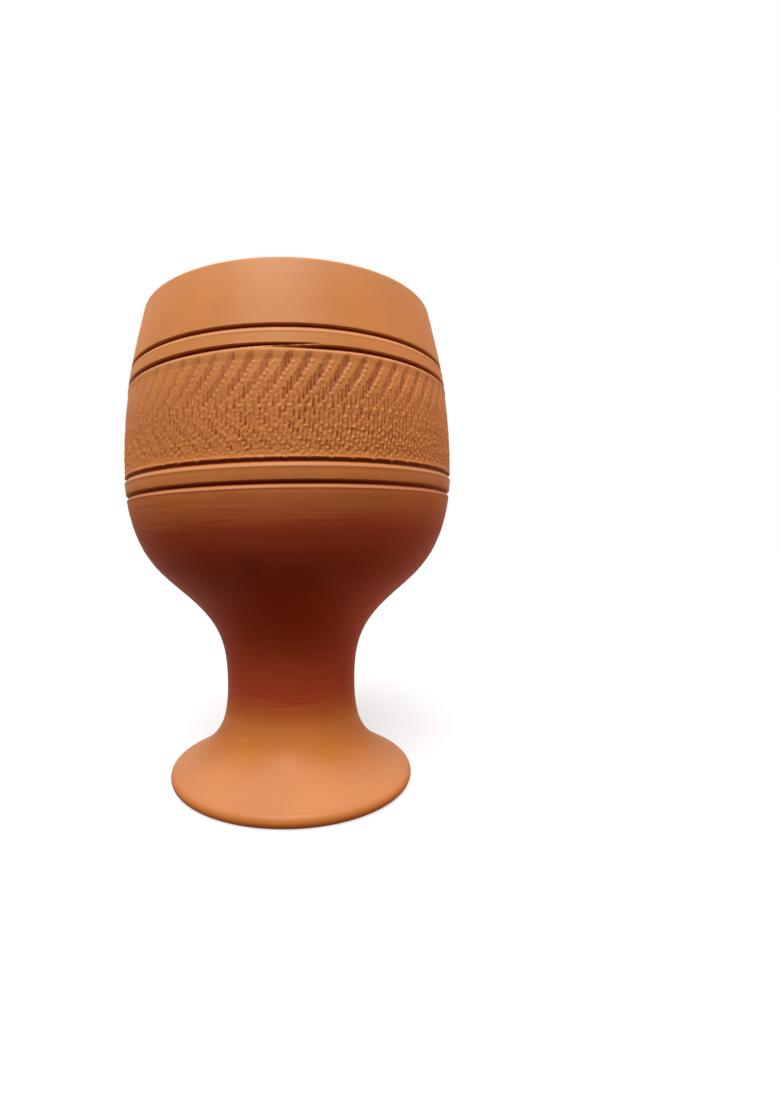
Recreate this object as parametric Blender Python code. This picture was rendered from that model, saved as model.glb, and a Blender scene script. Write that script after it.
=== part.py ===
"""A terracotta goblet: a thrown bowl, stem and foot, luted together with two rings of clay slip.

Units are metres and +Z is up. The origin is on the goblet's axis, on the surface that the foot rests on.
Every piece is a closed outline of (radius, height) points, spun once round the Z axis.
"""

import math

import bmesh
import bpy
import numpy as np

# Foot: from the surface it rests on up to the lower joint
FOOT_DIAMETER = 0.0700
FOOT_EDGE_THICKNESS = 0.0040
FLARE_RISE = 0.0035
FLARE_DIAMETER = 0.0551
FOOT_NECK_RISE = 0.0045
FOOT_NECK_DIAMETER = 0.0450
HOLLOW_DIAMETER = 0.0560
HOLLOW_DEPTH = 0.0060

# Stem: from the foot's neck up to the upper joint
STEM_LOW_RISE = 0.0080
STEM_LOW_DIAMETER = 0.0384
WAIST_RISE = 0.0100
WAIST_DIAMETER = 0.0374
STEM_TOP_RISE = 0.0160
STEM_TOP_DIAMETER = 0.0460
STEM_BORE_DIAMETER = 0.0200

# Bowl: from the stem's top up to the rim
BOWL_NECK_RISE = 0.0060
BOWL_NECK_DIAMETER = 0.0562
HAUNCH_RISE = 0.0080
HAUNCH_DIAMETER = 0.0732
SHOULDER_RISE = 0.0100
SHOULDER_DIAMETER = 0.0855
BELLY_RISE = 0.0180
BELLY_DIAMETER = 0.0912
UPPER_WALL_RISE = 0.0220
UPPER_WALL_DIAMETER = 0.0877
LIP_RISE = 0.0190
MOUTH_DIAMETER = 0.0700
LIP_THICKNESS = 0.00465
LIP_OUTER_ROUND = 0.0010
LIP_INNER_ROUND = 0.0025
BOWL_WALL = 0.0045
BOWL_FLOOR = 0.0062
CUP_ROUNDNESS = 2.5

# Turned grooves: two pairs, with the chattered band between the pairs
RIM_TO_FIRST_GROOVE = 0.0158
GROOVE_PAIR_SPACING = 0.0046
CHATTERED_BAND_HEIGHT = 0.0240
GROOVE_WIDTH = 0.0013
GROOVE_DEPTH = 0.0006

# Luted joints: a slip ring between flat faces, round a spigot that stands in the piece below
SLIP_THICKNESS = 0.0012
FIT_GAP = 0.0003
BOWL_SPIGOT_DEPTH = 0.0040
STEM_SPIGOT_DEPTH = 0.0040
STEM_SPIGOT_WALL = 0.0050
SPIGOT_CHAMFER = 0.0005

# How finely the outlines are drawn
TURN_STEPS = 48
POINTS_PER_SPAN = 4
ROUND_POINTS = 5
EDGE_BLEND_ANGLE = math.radians(60.0)

# Heights that follow from the sizes above
foot_top = FOOT_EDGE_THICKNESS + FLARE_RISE + FOOT_NECK_RISE
joint_thickness = SLIP_THICKNESS + 2.0 * FIT_GAP
stem_shoulder = foot_top + joint_thickness
stem_top = foot_top + STEM_LOW_RISE + WAIST_RISE + STEM_TOP_RISE
bowl_seat = stem_top + joint_thickness
belly_height = stem_top + BOWL_NECK_RISE + HAUNCH_RISE + SHOULDER_RISE + BELLY_RISE
lip_height = belly_height + UPPER_WALL_RISE + LIP_RISE
rim_height = lip_height + LIP_OUTER_ROUND
cup_floor = bowl_seat + BOWL_FLOOR

# Radii that the joined pieces share
bore_radius = STEM_BORE_DIAMETER / 2.0
bowl_spigot_radius = bore_radius - FIT_GAP
stem_spigot_radius = bore_radius + STEM_SPIGOT_WALL
socket_radius = stem_spigot_radius + FIT_GAP
edge_round = FOOT_EDGE_THICKNESS / 2.0
edge_centre_radius = FOOT_DIAMETER / 2.0 - edge_round
lip_radius = MOUTH_DIAMETER / 2.0 + LIP_THICKNESS


def profile_stations():
    """Give the heights and radii that the goblet's outer profile passes through, foot to lip."""
    spans = [
        (FOOT_EDGE_THICKNESS + FLARE_RISE, FLARE_DIAMETER),
        (FOOT_NECK_RISE, FOOT_NECK_DIAMETER),
        (STEM_LOW_RISE, STEM_LOW_DIAMETER),
        (WAIST_RISE, WAIST_DIAMETER),
        (STEM_TOP_RISE, STEM_TOP_DIAMETER),
        (BOWL_NECK_RISE, BOWL_NECK_DIAMETER),
        (HAUNCH_RISE, HAUNCH_DIAMETER),
        (SHOULDER_RISE, SHOULDER_DIAMETER),
        (BELLY_RISE, BELLY_DIAMETER),
        (UPPER_WALL_RISE, UPPER_WALL_DIAMETER),
        (LIP_RISE, 2.0 * lip_radius),
    ]
    flare_start_height = edge_round * (1.0 + math.sin(EDGE_BLEND_ANGLE))
    flare_start_radius = edge_centre_radius + edge_round * math.cos(EDGE_BLEND_ANGLE)
    heights = np.concatenate([[flare_start_height], np.cumsum([rise for rise, _ in spans])])
    radii = np.array([flare_start_radius] + [diameter / 2.0 for _, diameter in spans])
    return heights, radii


def spline_slopes(heights, radii, first_slope):
    """Solve for the slopes of the cubic spline through the stations: clamped below, free at the lip."""
    steps = np.diff(heights)
    rates = np.diff(radii) / steps
    count = len(heights)
    matrix = np.zeros((count, count))
    right = np.zeros(count)
    matrix[0, 0] = 1.0
    right[0] = first_slope
    for i in range(1, count - 1):
        matrix[i, i - 1] = steps[i]
        matrix[i, i] = 2.0 * (steps[i - 1] + steps[i])
        matrix[i, i + 1] = steps[i - 1]
        right[i] = 3.0 * (steps[i] * rates[i - 1] + steps[i - 1] * rates[i])
    matrix[-1, -2] = 1.0
    matrix[-1, -1] = 2.0
    right[-1] = 3.0 * rates[-1]
    return np.linalg.solve(matrix, right)


station_heights, station_radii = profile_stations()
station_slopes = spline_slopes(station_heights, station_radii, -math.tan(EDGE_BLEND_ANGLE))


def outer_radius(height):
    """Read the outer profile: the cubic through the two stations on either side of the height."""
    last_span = len(station_heights) - 2
    i = int(np.clip(np.searchsorted(station_heights, height) - 1, 0, last_span))
    step = station_heights[i + 1] - station_heights[i]
    t = (height - station_heights[i]) / step
    start, end = station_radii[i], station_radii[i + 1]
    start_slope, end_slope = station_slopes[i] * step, station_slopes[i + 1] * step
    bend = 2.0 * (start - end) + start_slope + end_slope
    rise = 3.0 * (end - start) - 2.0 * start_slope - end_slope
    return start + start_slope * t + rise * t ** 2 + bend * t ** 3


def outer_slice(top, bottom):
    """Give the outer profile from one height down to another, with a few points in each span."""
    inner_stations = [z for z in station_heights if bottom < z < top]
    ends = [bottom] + inner_stations + [top]
    heights = []
    for low, high in zip(ends, ends[1:]):
        heights.extend(np.linspace(low, high, POINTS_PER_SPAN, endpoint=False))
    heights.append(top)
    return [(outer_radius(z), z) for z in reversed(heights)]


def arc(centre_radius, centre_height, half_width, half_height, start_angle, end_angle):
    """Give points of an elliptical arc, where angle 0 points away from the axis and 90 degrees up."""
    angles = np.linspace(start_angle, end_angle, ROUND_POINTS)
    return [
        (centre_radius + half_width * math.cos(a), centre_height + half_height * math.sin(a))
        for a in angles
    ]


def groove_heights():
    """Give the heights of the turned grooves, from the rim down."""
    first = rim_height - RIM_TO_FIRST_GROOVE
    second = first - GROOVE_PAIR_SPACING
    third = second - CHATTERED_BAND_HEIGHT
    fourth = third - GROOVE_PAIR_SPACING
    return [first, second, third, fourth]


def cut_grooves(wall):
    """Cut a V into an outer wall, which runs from top to bottom, at the height of each groove."""
    half_width = GROOVE_WIDTH / 2.0
    for groove in groove_heights():
        notch = [
            (outer_radius(groove + half_width), groove + half_width),
            (outer_radius(groove) - GROOVE_DEPTH, groove),
            (outer_radius(groove - half_width), groove - half_width),
        ]
        above = [p for p in wall if p[1] > groove + GROOVE_WIDTH]
        below = [p for p in wall if p[1] < groove - GROOVE_WIDTH]
        wall = above + notch + below
    return wall


def cup_inside():
    """Give the inside of the cup from the middle of its floor up to the lip.

    Below the belly it is a superellipse, and above the belly a parabola that closes in to the mouth.
    """
    belly_inside = BELLY_DIAMETER / 2.0 - BOWL_WALL
    mouth_radius = MOUTH_DIAMETER / 2.0
    depth = belly_height - cup_floor
    lip_foot = rim_height - LIP_INNER_ROUND
    power = 2.0 / CUP_ROUNDNESS
    floor_curve = [
        (belly_inside * math.sin(a) ** power, belly_height - depth * math.cos(a) ** power)
        for a in np.linspace(0.0, math.pi / 2.0, 3 * POINTS_PER_SPAN, endpoint=False)
    ]
    wall_curve = [
        (belly_inside - (belly_inside - mouth_radius) * t ** 2, belly_height + (lip_foot - belly_height) * t)
        for t in np.linspace(0.0, 1.0, 2 * POINTS_PER_SPAN, endpoint=False)
    ]
    return floor_curve + wall_curve


def bowl_outline():
    """Outline the bowl from the middle of its floor, over the lip and down to the end of its spigot."""
    crest_radius = lip_radius - LIP_OUTER_ROUND
    inner_width = crest_radius - MOUTH_DIAMETER / 2.0
    inner_centre = rim_height - LIP_INNER_ROUND
    right_angle = math.pi / 2.0
    inner_lip = arc(crest_radius, inner_centre, inner_width, LIP_INNER_ROUND, math.pi, right_angle)
    outer_lip = arc(crest_radius, lip_height, LIP_OUTER_ROUND, LIP_OUTER_ROUND, right_angle, 0.0)
    wall = cut_grooves(outer_slice(lip_height, bowl_seat))
    spigot_end = stem_top - BOWL_SPIGOT_DEPTH
    spigot = [
        (bowl_spigot_radius, bowl_seat),
        (bowl_spigot_radius, spigot_end + SPIGOT_CHAMFER),
        (bowl_spigot_radius - SPIGOT_CHAMFER, spigot_end),
        (0.0, spigot_end),
    ]
    return cup_inside() + inner_lip + outer_lip[1:-1] + wall + spigot


def stem_outline():
    """Outline the stem: flat top, waisted wall, shoulder, spigot and bore."""
    spigot_end = foot_top - STEM_SPIGOT_DEPTH
    spigot = [
        (stem_spigot_radius, stem_shoulder),
        (stem_spigot_radius, spigot_end + SPIGOT_CHAMFER),
        (stem_spigot_radius - SPIGOT_CHAMFER, spigot_end),
    ]
    return outer_slice(stem_top, stem_shoulder) + spigot + [(bore_radius, spigot_end), (bore_radius, stem_top)]


def foot_outline():
    """Outline the foot: flat top, flare, rounded edge, flat resting ring, hollow underside and socket."""
    flare = outer_slice(foot_top, station_heights[0])
    edge = arc(edge_centre_radius, edge_round, edge_round, edge_round, EDGE_BLEND_ANGLE, -math.pi / 2.0)
    hollow = [(HOLLOW_DIAMETER / 2.0, 0.0), (socket_radius, HOLLOW_DEPTH)]
    return flare + edge[1:] + hollow + [(socket_radius, foot_top)]


def lute_outline(bottom, inner_radius):
    """Outline a ring of slip that stands one fit gap above the piece below and carries on its profile."""
    low = bottom + FIT_GAP
    high = low + SLIP_THICKNESS
    return [(outer_radius(high), high), (outer_radius(low), low), (inner_radius, low), (inner_radius, high)]


def fired_clay(name, colour, roughness):
    """Make a plain fired-clay material."""
    material = bpy.data.materials.new(name)
    material.use_nodes = True
    shader = material.node_tree.nodes["Principled BSDF"]
    shader.inputs["Base Color"].default_value = (*colour, 1.0)
    shader.inputs["Roughness"].default_value = roughness
    shader.inputs["Metallic"].default_value = 0.0
    return material


def turned_piece(name, outline, material):
    """Spin an outline once round the Z axis into a closed piece."""
    shape = bmesh.new()
    points = [shape.verts.new((radius, 0.0, height)) for radius, height in outline]
    pairs = list(zip(points, points[1:]))
    touches_axis = outline[0][0] == 0.0 and outline[-1][0] == 0.0
    if not touches_axis:
        pairs.append((points[-1], points[0]))
    edges = [shape.edges.new(pair) for pair in pairs]
    bmesh.ops.spin(
        shape,
        geom=points + edges,
        cent=(0.0, 0.0, 0.0),
        axis=(0.0, 0.0, 1.0),
        angle=2.0 * math.pi,
        steps=TURN_STEPS,
        use_merge=True,
    )
    bmesh.ops.remove_doubles(shape, verts=shape.verts, dist=1e-6)
    bmesh.ops.recalc_face_normals(shape, faces=shape.faces)
    mesh = bpy.data.meshes.new(name)
    shape.to_mesh(mesh)
    shape.free()
    mesh.shade_smooth()
    mesh.set_sharp_from_angle(angle=math.radians(40.0))
    mesh.materials.append(material)
    piece = bpy.data.objects.new(name, mesh)
    bpy.context.scene.collection.objects.link(piece)
    return piece


for old in list(bpy.data.objects):
    bpy.data.objects.remove(old, do_unlink=True)

turned_piece("bowl", bowl_outline(), fired_clay("bowl_terracotta", (0.60, 0.23, 0.10), 0.65))
turned_piece("bowl_lute", lute_outline(stem_top, bore_radius), fired_clay("bowl_slip", (0.25, 0.05, 0.02), 0.60))
turned_piece("stem", stem_outline(), fired_clay("stem_terracotta", (0.24, 0.05, 0.02), 0.60))
turned_piece("foot_lute", lute_outline(foot_top, socket_radius), fired_clay("foot_slip", (0.52, 0.20, 0.08), 0.65))
turned_piece("foot", foot_outline(), fired_clay("foot_terracotta", (0.70, 0.30, 0.13), 0.65))
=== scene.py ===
# %% [markdown]
# # A wheel-thrown terracotta goblet
#
# The goblet is three clay sections, a bowl, a stem and a foot, joined with two thin rings of clay slip.
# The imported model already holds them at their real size. So this script loads it as a fixed frame and
# only dresses it: fine turned surfaces, cut grooves, a chattered band, the fired clay itself, light and a
# camera. Sizes are in millimetres, as a potter would give them, and become Blender's metres when a mesh
# is filled.

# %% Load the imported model
import math

import bpy
import numpy as np
from mathutils import Matrix, Vector


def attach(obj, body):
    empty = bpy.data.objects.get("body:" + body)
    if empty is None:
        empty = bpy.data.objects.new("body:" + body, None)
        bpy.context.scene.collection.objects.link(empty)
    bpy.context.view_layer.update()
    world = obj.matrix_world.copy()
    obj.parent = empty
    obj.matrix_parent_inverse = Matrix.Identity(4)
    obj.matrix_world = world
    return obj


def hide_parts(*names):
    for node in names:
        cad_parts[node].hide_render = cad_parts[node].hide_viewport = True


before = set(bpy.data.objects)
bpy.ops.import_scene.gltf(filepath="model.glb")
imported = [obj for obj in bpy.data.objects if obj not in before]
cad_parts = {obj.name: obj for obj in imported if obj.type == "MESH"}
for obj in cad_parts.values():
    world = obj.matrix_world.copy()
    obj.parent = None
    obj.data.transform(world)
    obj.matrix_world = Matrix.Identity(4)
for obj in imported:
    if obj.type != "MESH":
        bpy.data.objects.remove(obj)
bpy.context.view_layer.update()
MM = 0.001
print("pieces in the frame:", sorted(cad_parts))

# %% [markdown]
# ## The turned profile
#
# Everything on this pot is round, so one curve gives the outside: the radius at each height. It could be
# drawn as a Bezier curve and spun with a Screw modifier. A surface that is worked out as numbers can also
# carry grooves and tool marks that change around the pot, so the profile is a function here. It is a
# cubic spline through the few heights and radii that a potter would call out, the same ones that the
# solid pieces have.

# %% The outer profile as a spline
FOOT_RADIUS = 35.0
FOOT_EDGE_ROUND = 2.0
FOOT_EDGE_SLOPE = math.radians(60.0)
BELLY_LEVEL = 88.0
LIP_HEIGHT = 129.0

# Height and radius of each station, from the foot's rounded edge up to the lip
PROFILE_STATIONS = np.array([
    (FOOT_EDGE_ROUND * (1.0 + math.sin(FOOT_EDGE_SLOPE)),
     FOOT_RADIUS - FOOT_EDGE_ROUND * (1.0 - math.cos(FOOT_EDGE_SLOPE))),
    (7.5, 27.55),  # flare of the foot
    (12.0, 22.5),  # neck of the foot
    (20.0, 19.2),  # base of the stem
    (30.0, 18.7),  # waist of the stem
    (46.0, 23.0),  # top of the stem
    (52.0, 28.1),  # neck of the bowl
    (60.0, 36.6),  # haunch of the bowl
    (70.0, 42.75),  # shoulder of the bowl
    (BELLY_LEVEL, 45.6),
    (110.0, 43.85),  # upper wall
    (LIP_HEIGHT, 39.65),
])


def spline_slopes(stations, first_slope):
    """Slopes of the smooth cubic through the stations: neighbouring spans share slope and bend at each one.

    The first slope is given and the last end is free, so the slopes solve one set of equations.
    """
    heights, radii = stations.T
    steps = np.diff(heights)
    rates = np.diff(radii) / steps
    count = len(heights)
    matrix = np.eye(count)
    right = np.zeros(count)
    right[0] = first_slope
    inner = np.arange(1, count - 1)
    matrix[inner, inner - 1] = steps[1:]
    matrix[inner, inner] = 2.0 * (steps[:-1] + steps[1:])
    matrix[inner, inner + 1] = steps[:-1]
    right[inner] = 3.0 * (steps[1:] * rates[:-1] + steps[:-1] * rates[1:])
    matrix[-1, -2:] = 1.0, 2.0
    right[-1] = 3.0 * rates[-1]
    return np.linalg.solve(matrix, right)


PROFILE_SLOPES = spline_slopes(PROFILE_STATIONS, -math.tan(FOOT_EDGE_SLOPE))


def outer_radius(height):
    """Radius of the pot's outside at each height: the cubic between the two nearest stations."""
    heights, radii = PROFILE_STATIONS.T
    span = np.clip(np.searchsorted(heights, height) - 1, 0, len(heights) - 2)
    step = heights[span + 1] - heights[span]
    t = (height - heights[span]) / step
    start, end = radii[span], radii[span + 1]
    start_slope, end_slope = PROFILE_SLOPES[span] * step, PROFILE_SLOPES[span + 1] * step
    rise = 3.0 * (end - start) - 2.0 * start_slope - end_slope
    bend = 2.0 * (start - end) + start_slope + end_slope
    return start + start_slope * t + rise * t ** 2 + bend * t ** 3


print("belly radius in mm:", round(float(outer_radius(np.array(BELLY_LEVEL))), 2))

# %% [markdown]
# ## Rings cut by hand
#
# A turned groove is never quite level: the tool rides up a little on one side. The two lower grooves here
# climb more than a millimetre from left to right. A Lattice could bend a finished mesh like that. It is
# simpler to tilt every row of the surface by an amount that depends on its height, because rows and
# grooves then stay in step.

# %% Angles and the tilt of the rows
FULL_TURN = 2.0 * math.pi
TILT_LEVELS = [58.0, 81.0, 85.7, 109.6, 114.2, 130.0]
TILT_AMOUNTS = [0.0, 0.65, 0.61, 0.09, 0.16, 0.0]


def from_deg(values):
    """Angles in degrees as an array of radians. Angle 0 faces the camera and 90 degrees lies along +X."""
    return np.radians(np.asarray(values, dtype=float))


def around(columns):
    """Equal steps of angle once round the pot, as one row of a grid that starts at the back."""
    return np.linspace(-math.pi, math.pi, columns, endpoint=False)[None, :]


def tilted_height(angle, level):
    """Height of a row at each angle: its level plus a once-round sine, strongest at the lower grooves."""
    return level + np.interp(level, TILT_LEVELS, TILT_AMOUNTS) * np.sin(angle)


low_side, high_side = tilted_height(from_deg([-90, 90]), TILT_LEVELS[1])
print("the most tilted row climbs", round(high_side - low_side, 2), "mm from left to right")

# %% [markdown]
# ## The turned grooves
#
# Four grooves ring the bowl in two pairs. The tool leaves a steep upper flank, which stays in shadow, and
# an easier lower flank that ends in a slightly raised lip, which catches the light and carries a painted
# highlight. A Boolean cut would give level, identical rings, and these are not: the first is shallower, the
# second is a spiral that overlaps its own start at the front, and small burrs of torn clay hang into the
# third. So a groove is a small cross-section here, depth against distance from its middle, that is carried
# along a path round the pot.

# %% The section of a groove
FIRST_GROOVE = 113.66
SECOND_GROOVE = 109.36
THIRD_GROOVE = 85.29
FOURTH_GROOVE = 80.66
FIRST_GROOVE_SHARE = 0.85
GROOVE_OFFSETS = [-1.40, -1.06, -0.92, -0.53, 0.0, 0.30, 0.58, 0.66]
GROOVE_DEPTHS = [0.0, -0.06, -0.03, 0.16, 0.86, 0.90, 0.10, 0.0]
# Painted highlight along each groove's lower lip: share against height above the groove's middle
LIP_OFFSETS = [-1.13, -0.98, -0.50, -0.35]
LIP_HIGHLIGHT_SHARES = [0.0, 1.0, 1.0, 0.0]


def groove_section(offset):
    """Depth of a groove against height above its middle: steep above, easier below, with a raised lip."""
    return np.interp(offset, GROOVE_OFFSETS, GROOVE_DEPTHS)


def lip_highlight(offset):
    """Share of painted highlight, from 0 to 1, against height above a groove's middle: along its lip."""
    return np.interp(offset, LIP_OFFSETS, LIP_HIGHLIGHT_SHARES)


print("a groove is", max(GROOVE_DEPTHS), "mm deep and its lip stands", -min(GROOVE_DEPTHS), "mm proud")

# %% The second groove, a spiral
SPIRAL_ANGLES = from_deg([-16, 0, 20, 60, 200, 297, 335, 350, 370])
SPIRAL_OFFSETS = [-0.52, -0.40, -0.18, -0.14, -0.30, -0.46, -0.10, 0.17, 0.42]
SPIRAL_FADE_ANGLES = from_deg([-10, 8, 358, 369])
SPIRAL_FADES = [0.0, 1.0, 1.0, 0.0]
SPIRAL_WIDTH_ANGLES = from_deg([-16, 12, 338, 370])
SPIRAL_WIDTHS = [0.35, 1.0, 1.0, 0.35]


def spiral_groove(angle, level, section):
    """The second groove: a section along one turn and a bit of a spiral, thin and shallow at both ends.

    Its middle is a height against the angle travelled. Where it passes twice, the deeper pass counts.
    """
    depth = np.zeros(np.broadcast(angle, level).shape)
    for start in (0.0, FULL_TURN):
        travel = angle + start
        middle = SECOND_GROOVE + np.interp(travel, SPIRAL_ANGLES, SPIRAL_OFFSETS)
        fade = np.interp(travel, SPIRAL_FADE_ANGLES, SPIRAL_FADES, left=0.0, right=0.0)
        width = np.interp(travel, SPIRAL_WIDTH_ANGLES, SPIRAL_WIDTHS)
        cut = fade * section((level - middle) / width)
        depth = np.where(fade > 0.0, np.maximum(depth, cut), depth)
    return depth


spiral_reach = math.degrees(SPIRAL_FADE_ANGLES[-1] - SPIRAL_FADE_ANGLES[0])
print("the spiral runs through", round(spiral_reach), "degrees")

# %% Repeatable unevenness, for marks that are never quite alike
# Unrelated numbers, so that neighbouring rows and columns give unrelated sines
HASH_STEPS = (12.9898, 78.233, 37.719)
HASH_SCALE = 43758.5453
SIZE_MEAN = 0.65
SIZE_SPREAD = 0.35
# Each kind of unevenness has a seed of its own
SIDE_SEED, START_SEED, STRENGTH_SEED, CRUMB_SEED, TORN_SEED, BURR_SEED = range(1, 7)


def unevenness(row, column, seed):
    """A repeatable number from -1 to 1 for each row and column: the fraction of a large sine of both."""
    mixed = row * HASH_STEPS[0] + column * HASH_STEPS[1] + seed * HASH_STEPS[2]
    return 2.0 * np.mod(np.sin(mixed) * HASH_SCALE, 1.0) - 1.0


def uneven_size(row, column, seed):
    """A repeatable share of the full size for each row and column: a mean, more or less a spread."""
    return SIZE_MEAN + SIZE_SPREAD * unevenness(row, column, seed)


print("sizes of the first burrs:", uneven_size(0.0, np.arange(4.0), BURR_SEED).round(2).tolist())

# %% The third groove with its burrs, and all four together
BURR_COUNT = 58
BURR_PHASE = 0.2
BURR_DROP = 0.34
BURR_SHARPNESS = 6
BURRED_FROM = 0.2
BURRED_WIDTH = 1.14


def burred_groove(angle, level, section):
    """The third groove: a section whose upper flank is lowered at even steps by small, uneven burrs.

    A burr is a cosine round the pot, cut off below zero and raised to a power that makes it narrow.
    """
    place = BURR_COUNT * angle / FULL_TURN + BURR_PHASE
    number = np.mod(np.round(place), BURR_COUNT)
    drop = BURR_DROP * uneven_size(0.0, number, BURR_SEED)
    burr = drop * np.clip(np.cos(FULL_TURN * place), 0.0, 1.0) ** BURR_SHARPNESS
    offset = level - THIRD_GROOVE
    return section(np.where(offset > BURRED_FROM, offset + burr, offset) / BURRED_WIDTH)


def all_grooves(angle, level, section):
    """A section carried along all four grooves: the deepest at each point, or a lip where none cuts."""
    angle, level = np.broadcast_arrays(angle, level)
    cuts = [
        FIRST_GROOVE_SHARE * section(level - FIRST_GROOVE),
        spiral_groove(angle, level, section),
        burred_groove(angle, level, section),
        section(level - FOURTH_GROOVE),
    ]
    deepest = np.maximum.reduce(cuts)
    raised = np.minimum.reduce(cuts)
    return np.where(deepest > 0.0, deepest, raised)


grooved_levels = np.linspace(FOURTH_GROOVE, FIRST_GROOVE, 300)[:, None]
front_depths = all_grooves(0.0, grooved_levels, groove_section)
print("share of the wall in front that is cut:", round(float(np.mean(front_depths > 0.0)), 2))

# %% [markdown]
# ## The chattered band
#
# Between the grooves a springy tool was left to bounce against the turning bowl while it crept downwards.
# Each bounce leaves a nick and pushes up a crumb of clay below it, and all nicks lie on one long spiral
# with about 67 bounces in a turn. Each turn lands a little beside the turn before. Near the top the nicks
# are long and overlap into strokes that lean to the right, and lower down they shorten into rows that
# lean to the left. An image or a bump map could draw all that, but the marks are deep enough to break the
# light, so they are cut into the surface: the depth of every turn's nicks is worked out on the whole
# grid, and the deepest is kept.

# %% Where the nicks of each turn land
CHATTER_TOP = 109.6
CHATTER_BOTTOM = 88.0
CHATTER_STEP = 1.0
MARKS_AROUND = 67
MARK_PITCH = FULL_TURN / MARKS_AROUND
BAND_RADIUS = 45.0
MARK_PITCH_MM = MARK_PITCH * BAND_RADIUS
FIRST_MARK = math.radians(1.0)
SHIFT_LEVELS = [87.0, 93.0, 96.0, 97.5, 99.0, 101.0, 104.0, 110.0]
SHIFTS_PER_TURN = [-3.40, -3.32, -3.15, -2.10, -1.15, -0.88, -0.66, -0.55]
DRIFT_MARGIN = 2.0
DRIFT_SAMPLES = 400

# How far the nicks have drifted round, in pitches: the turns' shifts in mm, added up from the top down
drift_levels = np.linspace(CHATTER_BOTTOM - DRIFT_MARGIN, CHATTER_TOP, DRIFT_SAMPLES)
drift_slopes = np.interp(drift_levels, SHIFT_LEVELS, SHIFTS_PER_TURN) / (CHATTER_STEP * MARK_PITCH_MM)
drift_steps = 0.5 * (drift_slopes[1:] + drift_slopes[:-1]) * np.diff(drift_levels)
mark_drifts = np.append(np.cumsum(drift_steps[::-1])[::-1], 0.0)
turn_count = math.ceil((CHATTER_TOP - CHATTER_BOTTOM) / CHATTER_STEP)
print("turns of chatter:", turn_count, "nicks:", turn_count * MARKS_AROUND)
print("one nick to the next in mm:", round(MARK_PITCH_MM, 2))

# %% One turn of nicks, with their crumbs
# A nick's height, lean, wander, depth and width, each against the level where the nick starts
NICK_LEVELS = [89.0, 97.0, 103.0, 108.0]
NICK_HEIGHTS = [1.5, 2.7, 3.2, 3.6]
NICK_LEANS = [0.0, 0.04, 0.08, 0.08]
NICK_WANDERS = [0.09, 0.09, 0.08, 0.08]
NICK_DEPTHS = [0.29, 0.38, 0.44, 0.46]
NICK_WIDTHS = [1.0, 1.05, 1.35, 1.6]
NICK_LEFT_SIDE = 0.30
NICK_RIGHT_SIDE = 0.42
NICK_DEEPEST = 0.82
NICK_SCOOP = 0.4
NICK_START_WANDER = 0.2
NICK_DEPTH_SPREAD = 0.35
CRUMB_HEIGHT = 0.20
CRUMB_WIDTH = 0.46
CRUMB_LENGTH = 0.50
CRUMB_OFFSET = 0.35
CRUMB_DROP = 0.1


def nick_row(angle, level, turn, lag):
    """Depth of one turn's nicks and height of their crumbs, with each nick set later by lag of a pitch.

    A nick is a V across that leans and deepens downwards. Its crumb is a round lump below and right of it.
    """
    nick_top = CHATTER_TOP - CHATTER_STEP * (turn + angle / FULL_TURN)
    nick_height, lean, wander, nick_depth, width = (
        np.interp(nick_top, NICK_LEVELS, values)
        for values in (NICK_HEIGHTS, NICK_LEANS, NICK_WANDERS, NICK_DEPTHS, NICK_WIDTHS))
    fallen = nick_top - level
    place = (angle - FIRST_MARK) / MARK_PITCH - np.interp(nick_top, drift_levels, mark_drifts) - lag
    place = place + lean * fallen / MARK_PITCH_MM
    mark = np.round(place)
    number = np.mod(mark, MARKS_AROUND) + lag

    across = (place - mark) * MARK_PITCH_MM + wander * unevenness(turn, number, SIDE_SEED)
    along = (fallen + NICK_START_WANDER * unevenness(turn, number, START_SEED)) / nick_height
    wedge = 1.0 + np.where(across < 0.0, across / NICK_LEFT_SIDE, -across / NICK_RIGHT_SIDE) / width
    entry = np.clip(along / NICK_DEEPEST, 0.0, 1.0) ** NICK_SCOOP
    scoop = np.minimum(entry, (1.0 - along) / (1.0 - NICK_DEEPEST))
    strength = nick_depth * (1.0 + NICK_DEPTH_SPREAD * unevenness(turn, number, STRENGTH_SEED))
    nicks = strength * np.clip(wedge, 0.0, 1.0) * np.clip(scoop, 0.0, 1.0)

    below = ((along - 1.0) * nick_height - CRUMB_DROP) / CRUMB_LENGTH
    beside = (across - CRUMB_OFFSET) / CRUMB_WIDTH
    lump = CRUMB_HEIGHT * uneven_size(turn, number, CRUMB_SEED)
    return nicks, lump * np.clip(1.0 - below ** 2 - beside ** 2, 0.0, 1.0)


print("nicks are", NICK_HEIGHTS[-1], "mm long at the band's top and", NICK_HEIGHTS[0], "mm at its foot")

# %% Torn clay between the nicks
TORN_LEVELS = [86.0, 88.0, 94.0, 99.0, 104.0, 108.2]
TORN_DEPTHS = [0.06, 0.085, 0.085, 0.055, 0.03, 0.0]
TORN_WIDTH = 0.38
TORN_HEIGHT = 0.42

torn_columns = round(FULL_TURN * BAND_RADIUS / TORN_WIDTH)
print("cells of torn clay round the band:", torn_columns)


def torn_clay(angle, level):
    """Roughness of the torn clay, from -1 to 1: numbers on the corners of small cells, blended between."""
    across = angle / FULL_TURN * torn_columns
    down = level / TORN_HEIGHT
    column, row = np.floor(across), np.floor(down)
    s, t = (share * share * (3.0 - 2.0 * share) for share in (across - column, down - row))
    corners = [
        [unevenness(row + j, np.mod(column + i, torn_columns), TORN_SEED) for i in (0, 1)]
        for j in (0, 1)
    ]
    lower, upper = (left + (right - left) * s for left, right in corners)
    return lower + (upper - lower) * t


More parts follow.
